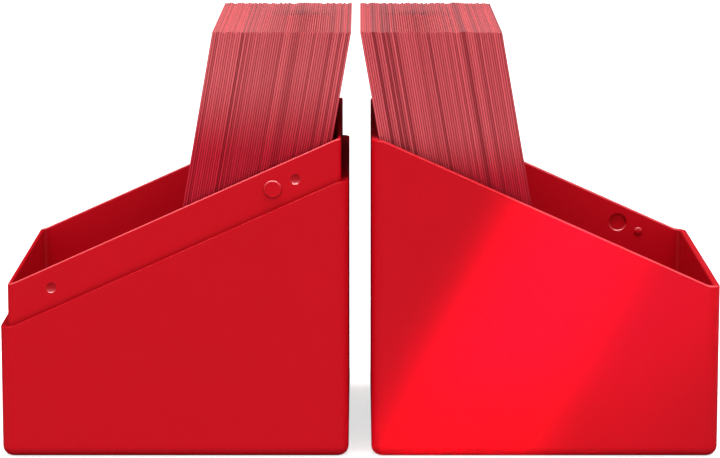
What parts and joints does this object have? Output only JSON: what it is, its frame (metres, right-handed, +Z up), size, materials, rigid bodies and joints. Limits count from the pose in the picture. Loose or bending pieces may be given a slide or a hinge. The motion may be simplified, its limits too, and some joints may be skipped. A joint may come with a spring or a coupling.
{
  "type": "slanted card deck box",
  "caption": "Square deck box that parts along a diagonal line into a base with an inner collar and a taller cover, each holding a leaning deck of sleeved cards.",
  "frame": {"origin": "centre of the whole row's footprint, on the table", "axes": "+X from the base to the cover, +Y to the back, +Z up"},
  "size_m": [0.1554, 0.0752, 0.0922],
  "materials": {
    "moulded_base": "satin injection-moulded red plastic, darker inside",
    "moulded_cover": "satin injection-moulded red plastic, darker inside",
    "card_sleeves": "matte translucent red film sleeves, lighter along their cut edges"
  },
  "bodies": {
    "base": {"base_shell": "moulded_base"},
    "base_deck": {"base_cards_01": "card_sleeves", "base_cards_02": "card_sleeves", "base_cards_03": "card_sleeves", "base_cards_04": "card_sleeves", "base_cards_05": "card_sleeves", "base_cards_06": "card_sleeves", "base_cards_07": "card_sleeves", "base_cards_08": "card_sleeves", "base_cards_09": "card_sleeves", "base_cards_10": "card_sleeves", "base_cards_11": "card_sleeves", "base_cards_12": "card_sleeves"},
    "cover": {"cover_shell": "moulded_cover"},
    "cover_deck": {"cover_cards_01": "card_sleeves", "cover_cards_02": "card_sleeves", "cover_cards_03": "card_sleeves", "cover_cards_04": "card_sleeves", "cover_cards_05": "card_sleeves", "cover_cards_06": "card_sleeves", "cover_cards_07": "card_sleeves", "cover_cards_08": "card_sleeves", "cover_cards_09": "card_sleeves", "cover_cards_10": "card_sleeves", "cover_cards_11": "card_sleeves", "cover_cards_12": "card_sleeves"}
  },
  "joints": [
    {"name": "base_deck_lift", "type": "slide", "parent": "base", "child": "base_deck", "axis": [0, 0, 1], "range_m": [0, 0.07]},
    {"name": "cover_lift", "type": "slide", "parent": "base", "child": "cover", "axis": [0, 0, 1], "range_m": [0, 0.1]},
    {"name": "cover_deck_lift", "type": "slide", "parent": "cover", "child": "cover_deck", "axis": [0, 0, 1], "range_m": [0, 0.07]}
  ]
}
